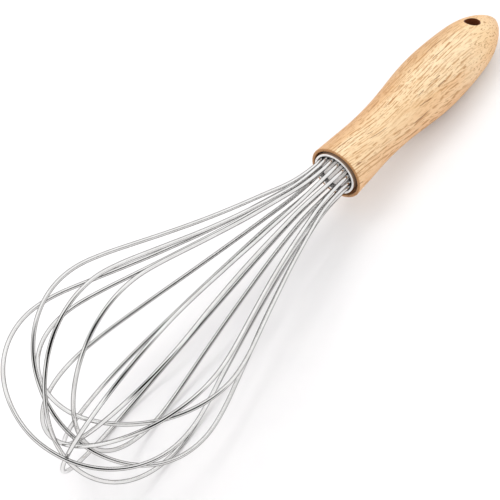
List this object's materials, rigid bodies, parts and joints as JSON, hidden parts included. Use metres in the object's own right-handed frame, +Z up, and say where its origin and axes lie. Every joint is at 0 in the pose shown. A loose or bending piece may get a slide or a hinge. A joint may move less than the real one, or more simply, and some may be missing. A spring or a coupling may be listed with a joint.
{
  "type": "balloon whisk",
  "caption": "Hand balloon whisk with a turned wooden grip, a hanging hole through its tail, a steel ferrule and nested spring-wire loops crossing at the tip.",
  "frame": {"origin": "bottom centre of the bounding box, on the plane the whisk rests on", "axes": "+X from the tail of the grip towards the tip of the balloon, level; +Z up from the resting plane; +Y to the left when looking along +X"},
  "size_m": [0.2978, 0.0878, 0.0851],
  "materials": {
    "handle_wood": "satin-oiled pale hardwood with short dark pores along the grain",
    "plug_pale": "pale satin cast core, its face level with the ferrule",
    "ferrule_steel": "bright stainless tube with a cleanly cut edge",
    "wire_steel": "bright polished stainless spring wire",
    "potting": "dark cast resin",
    "bond": "dark brown adhesive"
  },
  "bodies": {
    "root": {"wooden_handle": "handle_wood", "ferrule_sleeve": "ferrule_steel", "ferrule_bond_collar": "bond", "core_plug": "plug_pale", "wire_potting": "potting", "wire_loop_1": "wire_steel", "wire_loop_2": "wire_steel", "wire_loop_3": "wire_steel", "wire_loop_4": "wire_steel", "wire_loop_5": "wire_steel", "wire_loop_6": "wire_steel", "wire_loop_7": "wire_steel", "wire_loop_8": "wire_steel"}
  },
  "joints": []
}
